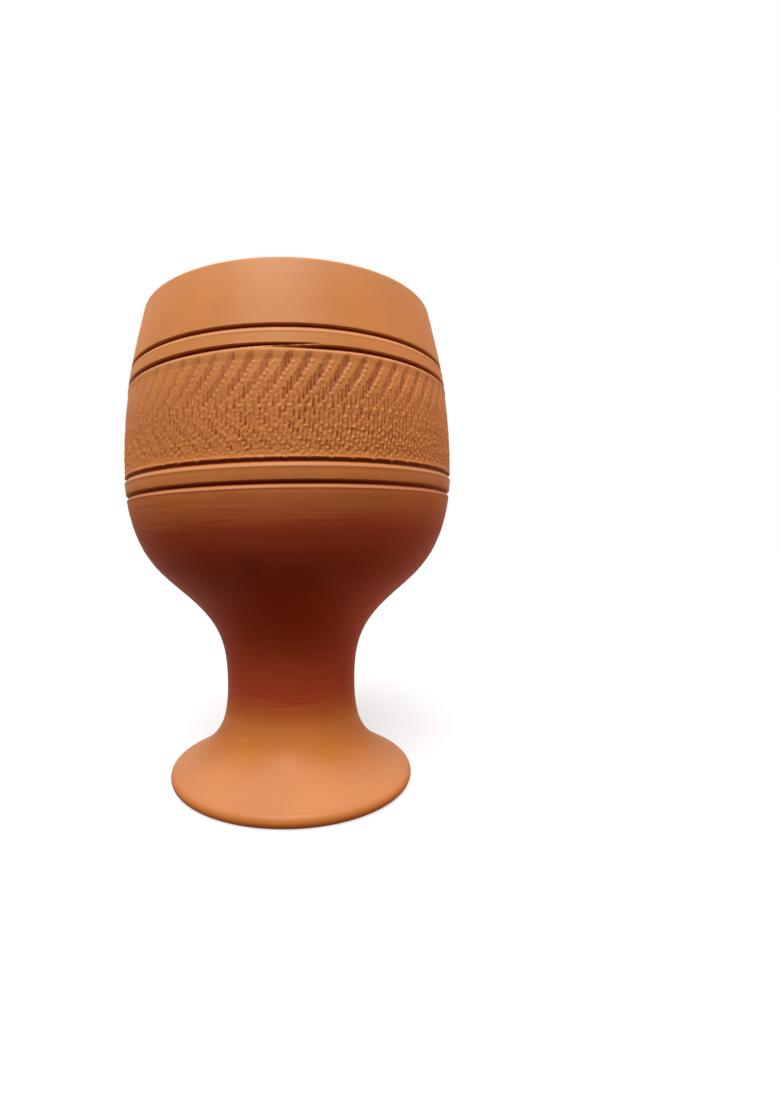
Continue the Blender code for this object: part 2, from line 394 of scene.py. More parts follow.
# %% The whole band
START_LEVELS = [107.2, 108.4]
START_SHARES = [1.0, 0.0]
SUNK_LEVELS = [86.0, 86.7, 106.6, 108.2]
SUNK_DEPTHS = [0.0, CRUMB_HEIGHT, CRUMB_HEIGHT, 0.0]
NICK_EDGE = 0.01
BITE_TURN = math.radians(14.0)
BITE_LEVELS = [88.0, 103.0]
BITE_LOSSES = [0.0, 0.45]
REBOUND_LAG = 0.5
REBOUND_TURN = math.radians(10.0)
REBOUND_LEAST = 0.1
REBOUND_LEVELS = [98.0, 102.0]
REBOUND_SHARES = [1.0, 0.0]


def chatter_cut(angle, level):
    """Depth of the chatter: the deepest of all turns of nicks, or the highest crumb where nothing is cut.

    Low on the band, and more on one side, the tool rebounds between two bounces and leaves weaker nicks.
    High on it the tool bites deeper on two opposite sides, as if the bowl were a little oval: a cosine of
    twice the angle. The whole band is torn and sunk a little, so that no crumb stands out past the wall.
    """
    depth = np.zeros(np.broadcast(angle, level).shape)
    crumbs = np.zeros_like(depth)
    side = np.interp(np.sin(angle - REBOUND_TURN), [-1.0, 1.0], [REBOUND_LEAST, 1.0])
    rebound = side * np.interp(level, REBOUND_LEVELS, REBOUND_SHARES)
    for turn in range(turn_count):
        for lag, share in ((0.0, 1.0), (REBOUND_LAG, rebound)):
            nicks, lumps = nick_row(angle, level, turn, lag)
            depth = np.maximum(depth, share * nicks)
            crumbs = np.maximum(crumbs, share * lumps)
    start = np.interp(level, START_LEVELS, START_SHARES)
    loss = np.interp(level, BITE_LEVELS, BITE_LOSSES)
    bite = start * (1.0 - loss + loss * np.cos(2.0 * (angle - BITE_TURN)))
    sunk = np.interp(level, SUNK_LEVELS, SUNK_DEPTHS)
    torn = np.interp(level, TORN_LEVELS, TORN_DEPTHS) * (1.0 + torn_clay(angle, level))
    return sunk + torn + bite * np.where(depth > NICK_EDGE, depth, -crumbs)


sample = chatter_cut(around(6 * MARKS_AROUND), np.linspace(CHATTER_BOTTOM, START_LEVELS[0], 40)[:, None])
print(f"chatter: {sample.max():.2f} mm deep, its highest crumb {sample.min():.2f} mm below the wall")

# %% [markdown]
# ## Turning lines
#
# Leather-hard clay is finished with a loop tool while the wheel spins, and the tool leaves fine level
# lines. They are only hundredths of a millimetre deep, but light that skims the lower bowl picks them out
# as streaks. A bump from a noise texture could fake them. A few sines of height with unrelated
# wavelengths put them into the mesh itself, and a slow change of strength with the angle keeps them from
# looking machined.

# %% Fine lines and throwing rings
LINE_WAVELENGTHS = [0.83, 1.37, 2.29, 3.7, 6.1]
LINE_DEPTHS = [0.006, 0.010, 0.014, 0.018, 0.020]
LINE_LEVELS = [8.0, 14.0, 60.0, 68.0, 82.0, 110.0]
LINE_SHARES = [0.03, 0.06, 0.2, 0.8, 0.8, 0.4]
LINE_PHASE = 1.7
SWELL_MEAN = 0.6
SWELL_SPREAD = 0.4
SWELL_PHASE = 2.1
WANDER_SHARE = 0.15
WANDER_PHASE = 1.3
RING_PITCH = 6.5
RING_DEPTH = 0.22


def turning_lines(angle, level):
    """Depth of the tool's lines: a sum of sines of height, each swelling and fading once or more around.

    The lines are strongest on the lower bowl and weakest on the foot.
    """
    depth = np.zeros(np.broadcast(angle, level).shape)
    for number, (length, amount) in enumerate(zip(LINE_WAVELENGTHS, LINE_DEPTHS)):
        swell = SWELL_MEAN + SWELL_SPREAD * np.sin((number + 1) * angle + SWELL_PHASE * number)
        wander = WANDER_SHARE * length * np.sin(angle + WANDER_PHASE * number)
        wave = np.sin(FULL_TURN * (level + wander) / length + LINE_PHASE * number)
        depth = depth + amount * swell * (1.0 + wave)
    return depth * np.interp(level, LINE_LEVELS, LINE_SHARES)


def throwing_rings(angle, level):
    """Depth of the finger rings inside: a rounded wave that climbs one pitch in each turn."""
    climb = level / RING_PITCH - angle / FULL_TURN
    return RING_DEPTH * np.sin(math.pi * climb) ** 2


bowl_lines = turning_lines(0.0, np.linspace(LINE_LEVELS[2], BELLY_LEVEL, 200))
print("deepest turning line on the lower bowl in mm:", round(float(bowl_lines.max()), 3))

# %% [markdown]
# ## Tone and painted light, from lip to foot
#
# One clay takes several tones on this pot, and the same number also paints light and shade on it. From the
# lip down they are a pale tone that paints a faint sheen on the upper wall, the bare clay of the belly, a
# dark red that paints the shade under the bowl and the bowl's shadow down the stem, a lighter red that
# paints the half shade at the stem's base, on the foot's lower edge and under the foot, and a dusty foot,
# paled further by painted sheen. They could be separate materials, but their borders are soft. So one
# number runs from 0 at the lip to 4 at the foot, and a colour ramp reads it later. The upper edge of the
# painted shade falls in small steps that wander as they go round, and the painted shade has one darker
# patch. The rim is paler: a painted highlight.

# %% Tone and painted light by height
# Tone numbers: 0 pale clay with painted sheen, 1 bare clay, 2 dark red painted shade, 3 lighter red painted
# half shade, 4 dusty clay with painted sheen
PALE_SHEEN, BARE, PAINTED_SHADE, THIN_PAINTED_SHADE, DUST_AND_SHEEN = range(5)
# The foot: painted half shade on its lower edge, dusty clay with painted sheen on top, and the bowl's
# painted shadow reaching its neck
FOOT_LEVELS = [0.8, 2.0, 2.8, 3.4, 4.2, 6.0, 9.0, 12.0, 14.0, 17.0]
FOOT_TONES_AND_LIGHT = [2.7, 2.9, 3.3, 3.75, 4.0, 4.0, 3.7, 3.2, 3.0, 3.0]
# The stem: the bowl's painted shadow, deepening upwards
STEM_LEVELS = [20.0, 22.0, 24.0, 26.0, 29.0, 33.0]
STEM_PAINTED_SHADOW = [2.85, 2.6, 2.36, 2.16, 2.05, 2.0]
# The bowl: painted shade from below the belly, bare clay at the belly, and painted sheen towards the lip
BOWL_LEVELS = [70.6, 71.3, 72.2, 72.8, 74.9, 75.7, 79.0, 82.0, 88.0, 104.0, 118.0]
BOWL_TONES_AND_LIGHT = [2.0, 1.92, 1.88, 1.72, 1.68, 1.52, 1.42, 1.2, 1.0, 0.55, 0.0]
# The upper edge of the painted shade wanders up and down by these sines: amount, count round and phase
SHADE_EDGE = 73.0
SHADE_EDGE_REACH = 6.0
EDGE_WAVES = [(0.5, 1, 0.0), (0.3, 3, 1.0), (0.15, 8, 0.0)]


def clay_tone_and_light(angle, level):
    """Tone of the outside at each level, which also paints shade and sheen: straight steps between a few
    heights.

    Near the upper edge of the painted shade the levels rise and fall by sines, each with an amount, a count
    and a phase.
    """
    wave = sum(amount * np.sin(count * angle + phase) for amount, count, phase in EDGE_WAVES)
    reach = [SHADE_EDGE - SHADE_EDGE_REACH, SHADE_EDGE, SHADE_EDGE + SHADE_EDGE_REACH]
    near_edge = np.interp(level, reach, [0.0, 1.0, 0.0])
    levels = FOOT_LEVELS + STEM_LEVELS + BOWL_LEVELS
    return np.interp(level - near_edge * wave, levels, FOOT_TONES_AND_LIGHT + STEM_PAINTED_SHADOW + BOWL_TONES_AND_LIGHT)


belly_tone_and_light, stem_tone_and_light = clay_tone_and_light(0.0, np.array([BELLY_LEVEL, STEM_LEVELS[-1]]))
print("finish at the belly:", belly_tone_and_light, "and on the stem:", stem_tone_and_light)

# %% A darker patch of painted shade, and the rim's painted highlight
# One soft round darker patch inside the painted shade on the lower bowl, left of the front
DARK_PATCH_CUT = 0.45
DARK_PATCH_ANGLE = math.radians(-13.0)
DARK_PATCH_LEVEL = 63.5
DARK_PATCH_WIDTH = 5.5
DARK_PATCH_HEIGHT = 4.5
# Painted highlight on the rim: a cut below zero, growing towards the lip
PAINTED_HIGHLIGHT_CUT = -0.3
PAINTED_HIGHLIGHT_LEVELS = [122.0, 128.0]
PAINTED_HIGHLIGHT_SHARES = [0.0, 0.35]


def dark_patch(angle, level):
    """How much darker the painted shade is, from 0 to 1: one soft round patch on the lower bowl, left of
    the front.
    """
    across = (angle - DARK_PATCH_ANGLE) * outer_radius(level) / DARK_PATCH_WIDTH
    return np.exp(-across ** 2 - ((level - DARK_PATCH_LEVEL) / DARK_PATCH_HEIGHT) ** 2)


print("darkest in the middle of the front:", round(float(dark_patch(0.0, np.array(DARK_PATCH_LEVEL))), 2))

# %% [markdown]
# ## From numbers to a mesh
#
# Each piece is a grid: rows follow the outline of its cross-section, and columns go round the pot. A
# Screw modifier would make such a grid, but all its columns would be alike. A piece with a hole through
# it closes on itself in both directions, like a ring. The bowl has no hole, so fans that meet in one
# point on the axis close its first and last rows. The whole grid goes into Blender at once with
# foreach_set, which is fast. Two attributes stay on the mesh for the clay to read. One is the tone, which
# also paints shade and sheen. The other is the cut: above zero it is the depth of a groove or nick, where
# the clay paints shade, and below zero it paints a highlight. It also holds one darker patch of painted
# shade. Faces under the painted shade take a second, matt material.

# %% Faces of a grid
def grid_faces(rows, columns, capped):
    """Corner numbers of a grid's faces: quads between neighbours that wrap round, and fans on its ends.

    Points are numbered row by row. The last row joins the first, like a ring. A capped grid leaves that
    join out and ends in two fans instead, round two more points that are numbered after the grid's.
    """
    index = np.arange(rows * columns).reshape(rows, columns)
    beside = np.roll(index, -1, axis=1)
    after = np.roll(index, -1, axis=0)
    quads = np.stack([index, beside, np.roll(beside, -1, axis=0), after], axis=-1)
    fans = np.empty((0, 3), dtype=int)
    if capped:
        quads = quads[:-1]
        first_tip, last_tip = np.full((2, columns), [[index.size], [index.size + 1]])
        fans = np.concatenate([
            np.stack([first_tip, beside[0], index[0]], axis=-1),
            np.stack([last_tip, index[-1], beside[-1]], axis=-1),
        ])
    return quads.reshape(-1, 4), fans


def enclosed_volume(points, triangles):
    """Volume inside triangles: a sixth of their corners' triple products, above zero if they face out."""
    a, b, c = (points[triangles[:, i]] for i in range(3))
    return float(np.einsum("ij,ij->", a, np.cross(b, c))) / 6.0


print("faces of a small capped grid:", [len(faces) for faces in grid_faces(3, 8, capped=True)])

# %% Mesh builder
# Faces with a tone between these two lie under the painted shade and take the matt material
MATT_FROM = 1.22
MATT_TO = 2.9
SHARP_ANGLE = math.radians(62.0)
CUBIC_CM = 1000.0


def filled_mesh(name, points, quads, fans):
    """A mesh from whole arrays: points in mm, all corners in one list, and where in it each face starts."""
    corners = np.concatenate([quads.ravel(), fans.ravel()])
    starts = np.concatenate([4 * np.arange(len(quads)), quads.size + 3 * np.arange(len(fans))])
    mesh = bpy.data.meshes.new(name)
    mesh.vertices.add(len(points))
    mesh.vertices.foreach_set("co", (points * MM).ravel())
    mesh.loops.add(len(corners))
    mesh.loops.foreach_set("vertex_index", corners)
    mesh.polygons.add(len(starts))
    mesh.polygons.foreach_set("loop_start", starts)
    mesh.update(calc_edges=True)
    return mesh


def turned_piece(name, angles, radius, height, cut, tone_and_light, poles=()):
    """Make a piece from grids in mm: point = (radius sin angle, -radius cos angle, height).

    Rows run up the outside and down the inside. The last row joins the first, or both end in poles.
    """
    grid = np.stack([radius * np.sin(angles), -radius * np.cos(angles), height], axis=-1).reshape(-1, 3)
    tips = np.array([(0.0, 0.0, level) for level in poles]).reshape(-1, 3)
    points = np.concatenate([grid, tips])
    quads, fans = grid_faces(*radius.shape, capped=bool(poles))
    mesh = filled_mesh(name, points, quads, fans)
    for label, values in (("cut", cut), ("tone_and_light", tone_and_light)):
        filled = np.append(values.ravel(), values[[0, -1], 0][:len(tips)])
        mesh.attributes.new(label, "FLOAT", "POINT").data.foreach_set("value", filled)
    # Faces under the painted shade take the second material, which is matt
    face_tone_and_light = np.append(tone_and_light.ravel()[quads[:, 0]], np.zeros(len(fans)))
    painted_shade = (face_tone_and_light > MATT_FROM) & (face_tone_and_light < MATT_TO)
    mesh.polygons.foreach_set("material_index", painted_shade.astype(np.int32))
    mesh.shade_smooth()
    mesh.set_sharp_from_angle(angle=SHARP_ANGLE)
    piece = bpy.data.objects.new(name, mesh)
    bpy.context.scene.collection.objects.link(piece)

    triangles = np.concatenate([quads[:, :3], quads[:, [0, 2, 3]], fans])
    volume = enclosed_volume(points, triangles) / CUBIC_CM
    print(f"{name}: {len(triangles)} triangles, {volume:.2f} cubic cm")
    return piece


# %% Runs of rows
def row_levels(start, *legs):
    """Levels from start through the end of each leg, in even steps no longer than that leg's step."""
    parts = [[start]]
    for end, step in legs:
        count = math.ceil(abs(end - start) / step)
        parts.append(np.linspace(start, end, count + 1)[1:])
        start = end
    return np.concatenate(parts)


def plain_rows(angles, outline, tone_and_light=None, cut=0.0):
    """Grids for rows that are alike all the way round: each (radius, height) pair of the outline, repeated.

    The tone, which also carries painted shade and sheen, is the outside's at each height, unless one is
    given.
    """
    pairs = np.asarray(outline, float).T
    radius, height = (np.repeat(column[:, None], angles.shape[1], axis=1) for column in pairs)
    chosen = clay_tone_and_light(angles, height) if tone_and_light is None else np.full_like(radius, tone_and_light)
    return radius, height, np.full_like(radius, cut), chosen


def stacked(grids):
    """Join the grids of several runs of rows into one set: all radii, heights, cuts and tones."""
    return [np.concatenate(parts) for parts in zip(*grids)]


print("rows from 0 to 2 and on to 3 mm:", row_levels(0.0, (2.0, 1.0), (3.0, 0.5)).tolist())

# %% [markdown]
# ## The bowl
#
# The bowl is a thrown cup: a rounded lip, a wall about 4.5 mm thick, and a solid spigot under its floor
# that sits in the stem. One outline runs from the spigot up the outside, over the lip and down the inside
# to the floor. The chattered part needs a much finer grid than the rest. A Multiresolution modifier would
# refine the whole bowl, so the bowl leaves a shallow seat there instead, and three thin rings fill it.
# Their lower seam lies hidden at the bottom of the third groove, so the fine grid also carries the burrs
# on its upper flank.

# %% The outside of the bowl
BODY_COLUMNS = 240
SEAT_LEVEL = 47.65
BAND_SEAT_TOP = 108.5
BAND_SEAT_BOTTOM = THIRD_GROOVE
BAND_SEAT_DEPTH = 1.6
FIRST_FINE_ROWS = (112.2, 114.5)
SECOND_FINE_END = 110.8
THIRD_FINE_START = 83.8
FOURTH_FINE_ROWS = (79.2, 81.4)
FINE_ROW = 0.11
WALL_ROW = 0.3
LIP_ROW = 0.6
SEAT_ROW = 4.0

# Rows lie closer together where a groove is cut
lower_levels = row_levels(
    SEAT_LEVEL, (FOURTH_FINE_ROWS[0], WALL_ROW), (FOURTH_FINE_ROWS[1], FINE_ROW),
    (THIRD_FINE_START, WALL_ROW), (BAND_SEAT_BOTTOM, FINE_ROW))
upper_levels = row_levels(
    BAND_SEAT_TOP, (SECOND_FINE_END, FINE_ROW), (FIRST_FINE_ROWS[0], WALL_ROW),
    (FIRST_FINE_ROWS[1], FINE_ROW), (LIP_HEIGHT, LIP_ROW))
seat_levels = row_levels(BAND_SEAT_BOTTOM, (BAND_SEAT_TOP, SEAT_ROW))
body_angles = around(BODY_COLUMNS)
print("rows below the band:", len(lower_levels), "and above it:", len(upper_levels))


def bowl_outside(angles, levels, chattered=False):
    """Grids of radius, height, cut and tone for rows of the wall: the tilted profile, less all cuts.

    In the cut, the painted highlight on the groove lips and rim counts below zero, and the darker patch of
    painted shade counts above it.
    """
    level = levels[:, None]
    height = tilted_height(angles, level)
    cut = all_grooves(angles, level, groove_section)
    if chattered:
        chatter = chatter_cut(angles, level)
        cut = np.where(chatter > 0.0, np.maximum(cut, chatter), cut)
    radius = outer_radius(height) - cut - turning_lines(angles, level)
    painted_highlight = all_grooves(angles, level, lip_highlight) + np.interp(level, PAINTED_HIGHLIGHT_LEVELS, PAINTED_HIGHLIGHT_SHARES)
    paint_marks = cut + PAINTED_HIGHLIGHT_CUT * painted_highlight + DARK_PATCH_CUT * dark_patch(angles, level)
    return radius, height, paint_marks, clay_tone_and_light(angles, level)


def band_seat(angles, levels):
    """Grids for rows of the seat behind the chattered band: the tilted profile, set back evenly."""
    height = tilted_height(angles, levels[:, None])
    radius = outer_radius(height) - BAND_SEAT_DEPTH
    return radius, height, np.zeros_like(radius), clay_tone_and_light(angles, height)


# %% The lip
RIM_HEIGHT = 130.0
MOUTH_RADIUS = 35.0
MOUTH_LEVEL = 127.5
LIP_ROWS = 9

# Outside, an arc carries on the wall's slope to the crest. Inside, a quarter ellipse falls to the mouth
lip_lean = math.atan(-PROFILE_SLOPES[-1])
lip_round = (RIM_HEIGHT - LIP_HEIGHT) / (1.0 - math.sin(lip_lean))
crest_radius = float(outer_radius(np.array(LIP_HEIGHT))) - lip_round * math.cos(lip_lean)
lip_turn = np.linspace(lip_lean, math.pi / 2.0, LIP_ROWS)[1:]
mouth_turn = np.linspace(0.0, math.pi / 2.0, LIP_ROWS)[1:]
lip_outline = np.concatenate([
    np.stack([crest_radius + lip_round * np.cos(lip_turn),
              RIM_HEIGHT - lip_round * (1.0 - np.sin(lip_turn))], axis=-1),
    np.stack([crest_radius - (crest_radius - MOUTH_RADIUS) * np.sin(mouth_turn),
              MOUTH_LEVEL + (RIM_HEIGHT - MOUTH_LEVEL) * np.cos(mouth_turn)], axis=-1),
])
print("round of the lip in mm:", round(lip_round, 2), "and radius of its crest:", round(crest_radius, 2))

# %% The inside of the cup
BELLY_INSIDE_RADIUS = 41.1
CUP_FLOOR = 54.0
CUP_ROUNDNESS = 2.5
INSIDE_TONE = 0.5
INSIDE_ROW = 1.0
FLOOR_ROWS = 42
RING_LEVELS = [60.0, 70.0, 119.5, MOUTH_LEVEL]
RING_SHARES = [0.0, 1.0, 1.0, 0.0]


def cup_inside(angles):
    """Grids for the inside: a parabola from mouth to belly, then a squared ellipse down to the floor.

    Throwing rings are added to the radius, and fade out towards the mouth and the floor.
    """
    wall = row_levels(MOUTH_LEVEL, (BELLY_LEVEL, INSIDE_ROW))[1:]
    share = (wall - BELLY_LEVEL) / (MOUTH_LEVEL - BELLY_LEVEL)
    wall_radius = BELLY_INSIDE_RADIUS - (BELLY_INSIDE_RADIUS - MOUTH_RADIUS) * share ** 2
    turn = np.linspace(math.pi / 2.0, 0.0, FLOOR_ROWS)[1:-1]
    floor = BELLY_LEVEL - (BELLY_LEVEL - CUP_FLOOR) * np.cos(turn) ** (2.0 / CUP_ROUNDNESS)
    floor_radius = BELLY_INSIDE_RADIUS * np.sin(turn) ** (2.0 / CUP_ROUNDNESS)
    outline = np.stack([np.append(wall_radius, floor_radius), np.append(wall, floor)], axis=-1)
    radius, height, cut, tone_and_light = plain_rows(angles, outline, INSIDE_TONE)
    fade = np.interp(height, RING_LEVELS, RING_SHARES)
    return radius + fade * throwing_rings(angles, height), height, cut, tone_and_light


inside_grids = cup_inside(body_angles)
print("rows inside the cup:", len(inside_grids[0]))

# %% The whole bowl
SPIGOT_RADIUS = 9.7
SPIGOT_TIP = 42.0
SPIGOT_CHAMFER = 0.5

spigot_outline = [
    (SPIGOT_RADIUS - SPIGOT_CHAMFER, SPIGOT_TIP),
    (SPIGOT_RADIUS, SPIGOT_TIP + SPIGOT_CHAMFER),
    (SPIGOT_RADIUS, SEAT_LEVEL),
]
bowl_grids = [
    plain_rows(body_angles, spigot_outline),
    bowl_outside(body_angles, lower_levels),
    band_seat(body_angles, seat_levels),
    bowl_outside(body_angles, upper_levels),
    plain_rows(body_angles, lip_outline, cut=PAINTED_HIGHLIGHT_CUT * PAINTED_HIGHLIGHT_SHARES[-1]),
    inside_grids,
]
bowl = turned_piece("thrown_bowl", body_angles, *stacked(bowl_grids), poles=(SPIGOT_TIP, CUP_FLOOR))

# %% The chattered rings
COLUMNS_PER_MARK = 36
BAND_SPLITS = (92.4, 100.2)
BAND_ROW = 0.22
FLANK_TOP = 86.1
FLANK_ROW = 0.09

band_angles = around(COLUMNS_PER_MARK * MARKS_AROUND)
band_rings = []
for ring_name, low, high in (
    ("chattered_band_lower", BAND_SEAT_BOTTOM, BAND_SPLITS[0]),
    ("chattered_band_middle", BAND_SPLITS[0], BAND_SPLITS[1]),
    ("chattered_band_upper", BAND_SPLITS[1], BAND_SEAT_TOP),
):
    levels = row_levels(low, (max(low, FLANK_TOP), FLANK_ROW), (high, BAND_ROW))
    face = bowl_outside(band_angles, levels, chattered=True)
    back = band_seat(band_angles, np.array([high, low]))
    band_rings.append(turned_piece(ring_name, band_angles, *stacked([face, back])))

# %% [markdown]
# ## Stem, slip rings and foot
#
# The stem is a waisted tube. It ends below in a spigot that fits the socket of the foot, and above it
# takes the spigot of the bowl. A smear of slip fills each joint and is sponged level, so the joints don't
# show. The foot is a flared disc with a rounded edge, a flat ring to stand on and a hollow underneath. A
# Screw modifier on a drawn outline would do for all four, but the turning lines and one small ding low on
# the stem change with the angle. So these pieces are grids as well, each a closed outline turned once
# round.

# %% A small ding
DING_ANGLE = math.radians(-38.5)
DING_LEVEL = 16.1
DING_WIDTH = 1.2
DING_HEIGHT = 0.95
DING_DEPTH = 0.07
DING_RING = 0.6
DING_RING_SOFTNESS = 0.25
DING_EDGE_SOFTNESS = 0.2
# Share of painted highlight along the ding's edge, against height in the ding's own heights
DING_HIGHLIGHT_HEIGHTS = [0.0, 0.9]
DING_HIGHLIGHT_SHARES = [0.4, 0.0]


def small_ding(angles, level):
    """Depth and painted highlight share of one oval ding: a ring-shaped dent with a painted highlight on
    its edge, except at the top.

    Both are bell curves of the distance from the ding's middle, counted in its own widths and heights.
    """
    across = (angles - DING_ANGLE) * outer_radius(level) / DING_WIDTH
    upwards = (level - DING_LEVEL) / DING_HEIGHT
    from_middle = np.hypot(across, upwards)
    dent = DING_DEPTH * np.exp(-((from_middle - DING_RING) / DING_RING_SOFTNESS) ** 2)
    edge = np.exp(-((from_middle - 1.0) / DING_EDGE_SOFTNESS) ** 2)
    return dent, edge * np.interp(upwards, DING_HIGHLIGHT_HEIGHTS, DING_HIGHLIGHT_SHARES)


print("the ding is", 2.0 * DING_WIDTH, "mm wide and", 2.0 * DING_HEIGHT, "mm high")

# %% Stem and slip rings
STEM_COLUMNS = 480
FOOT_TOP = 12.15
STEM_BOTTOM = 13.65
STEM_TOP = 46.15
STEM_BORE = 10.0
STEM_SPIGOT_RADIUS = 15.0
STEM_SPIGOT_TIP = 8.0
JOINT_GAP = 0.3
STEM_ROW = 0.25
END_ROW = 0.04

stem_angles = around(STEM_COLUMNS)


def turned_wall(angles, low, high):
    """Grids for the outside between two heights: the profile less the fine turning lines and the ding.

    A very thin first and last row keep the shading of the wall level where it meets the next piece.
    """
    legs = [(low + END_ROW, END_ROW), (high - END_ROW, STEM_ROW), (high, END_ROW)]
    level = row_levels(low, *legs)[:, None]
    # The ding's dent, and its painted highlight, which the cut carries below zero
    dent, paint_marks = small_ding(angles, level)
    radius = outer_radius(level) - turning_lines(angles, level) - dent
    return radius, np.broadcast_to(level, radius.shape), PAINTED_HIGHLIGHT_CUT * paint_marks, clay_tone_and_light(angles, level)


def turned_section(name, low, high, inside):
    """A closed ring: the turned wall from low to high, then the inside outline back down to the start."""
    # Its inside takes the lighter red of the painted half shade
    inside_rows = plain_rows(stem_angles, inside, THIN_PAINTED_SHADE)
    return turned_piece(name, stem_angles, *stacked([turned_wall(stem_angles, low, high), inside_rows]))


stem = turned_section("waisted_stem", STEM_BOTTOM, STEM_TOP, [
    (STEM_BORE, STEM_TOP),
    (STEM_BORE, STEM_SPIGOT_TIP),
    (STEM_SPIGOT_RADIUS - SPIGOT_CHAMFER, STEM_SPIGOT_TIP),
    (STEM_SPIGOT_RADIUS, STEM_SPIGOT_TIP + SPIGOT_CHAMFER),
    (STEM_SPIGOT_RADIUS, STEM_BOTTOM),
])
foot_lute = turned_section("foot_slip_ring", FOOT_TOP, STEM_BOTTOM, [
    (STEM_SPIGOT_RADIUS + JOINT_GAP, STEM_BOTTOM),
    (STEM_SPIGOT_RADIUS + JOINT_GAP, FOOT_TOP),
])
bowl_lute = turned_section("bowl_slip_ring", STEM_TOP, SEAT_LEVEL, [
    (SPIGOT_RADIUS + JOINT_GAP, SEAT_LEVEL),
    (SPIGOT_RADIUS + JOINT_GAP, STEM_TOP),
])

# %% Foot
EDGE_ROWS = 22
SOCKET_RADIUS = STEM_SPIGOT_RADIUS + JOINT_GAP
HOLLOW_TOP = 6.0
RESTING_RING_INSIDE = 28.0
RING_EDGE_WIDTH = 0.4
RING_EDGE_HEIGHT = 0.2

edge_turn = np.linspace(-math.pi / 2.0, FOOT_EDGE_SLOPE, EDGE_ROWS)
edge_radius = FOOT_RADIUS - FOOT_EDGE_ROUND * (1.0 - np.cos(edge_turn))
edge_height = FOOT_EDGE_ROUND * (1.0 + np.sin(edge_turn))
edge_outline = np.stack([edge_radius, edge_height], axis=-1)[:-1]
underside_outline = [
    (SOCKET_RADIUS, FOOT_TOP),
    (SOCKET_RADIUS, HOLLOW_TOP),
    (RESTING_RING_INSIDE - RING_EDGE_WIDTH, RING_EDGE_HEIGHT),
    (RESTING_RING_INSIDE, 0.0),
    (RESTING_RING_INSIDE + RING_EDGE_WIDTH, 0.0),
]
foot = turned_piece("flared_foot", stem_angles, *stacked([
    plain_rows(stem_angles, edge_outline),
    turned_wall(stem_angles, PROFILE_STATIONS[0, 0], FOOT_TOP),
    # The underside takes the lighter red of the painted half shade
    plain_rows(stem_angles, underside_outline, THIN_PAINTED_SHADE),
]))

# %% [markdown]
# ## Fired terracotta
#
# Terracotta is red earthenware fired without glaze: a matt, slightly dusty orange. Here it is painted
# paler as a highlight on the rim, the groove lips and the edge of a ding, and darker red as shade inside
# the grooves and nicks. Most of the skin looks burnished, or rubbed smooth, which leaves a faint satin
# sheen, while the faces under the painted shade are kept nearly matt. So two materials share one recipe and
# differ in the weight of a rough clear coat. An image texture could hold the colours, but it would need
# unwrapping and would blur up close. Noise in the pot's own Object coordinates has no seams and is as
# fine as it is asked to be.

# %% Colour and node helpers
def linear_colour(code):
    """An sRGB hex colour as linear RGBA.

    Each channel c, from 0 to 1, becomes ((c + 0.055) / 1.055) ** 2.4, or c / 12.92 where it is very dark.
    """
    channels = np.array([int(code[i:i + 2], 16) for i in (1, 3, 5)]) / 255.0
    linear = np.where(channels <= 0.04045, channels / 12.92, ((channels + 0.055) / 1.055) ** 2.4)
    return (*linear.tolist(), 1.0)


def add_node(tree, kind, inputs=(), **settings):
    """Add a node with its settings. An input that is a socket is linked, and any other value is set."""
    node = tree.nodes.new(kind)
    for key, value in settings.items():
        setattr(node, key, value)
    for key, value in dict(inputs).items():
        if isinstance(value, bpy.types.NodeSocket):
            tree.links.new(value, node.inputs[key])
        else:
            node.inputs[key].default_value = value
    return node


print("a middle grey in linear numbers:", [round(v, 3) for v in linear_colour("#808080")])

# %% Clay colours, and the real sizes of their patterns
# Colours of the tone numbers, several of which paint light and shade
TONE_AND_LIGHT_COLOURS = {
    # Pale clay that paints a faint sheen on the upper wall and lip
    PALE_SHEEN: linear_colour("#D1884D"),
    BARE: linear_colour("#D08343"),
    # Dark red: painted shade under the bowl and the bowl's painted shadow on the stem
    PAINTED_SHADE: linear_colour("#AA4224"),
    # Lighter red: painted half shade, also used under the foot and inside
    THIN_PAINTED_SHADE: linear_colour("#C07233"),
    # Dusty clay on the foot, paled further by painted sheen
    DUST_AND_SHEEN: linear_colour("#C68455"),
}
# Painted shade inside the grooves and nicks, darker the deeper the cut
RECESS_SHADE_CLAY = linear_colour("#8A3A1C")
# Painted highlight on the rim, the groove lips and the edge of the ding
PAINTED_HIGHLIGHT_CLAY = linear_colour("#DDA077")
CLOUD_SIZE = 22.0 * MM
STREAK_LENGTH = 12.0 * MM
STREAK_HEIGHT = 0.5 * MM
# Grit in sieved clay is about 0.1 mm across, too fine to show here, so it is drawn four times as coarse
GRIT_SIZE = 0.4 * MM
GRIT_RELIEF = 0.04 * MM
print("finishes with a colour:", len(TONE_AND_LIGHT_COLOURS))
print("clouds, streaks and grit in mm:", [round(v / MM, 2) for v in (CLOUD_SIZE, STREAK_LENGTH, GRIT_SIZE)])

# %% Level streaks, and the colour of each finish
NOISE_MIDDLE = 0.5
NOISE_SWING = 0.2
NOISE_DETAIL = 3.0
CALM_FROM = 2.4
CALM_TO = 3.2
CALM_LEFT = 0.3
STREAK_SHIFT = 0.12


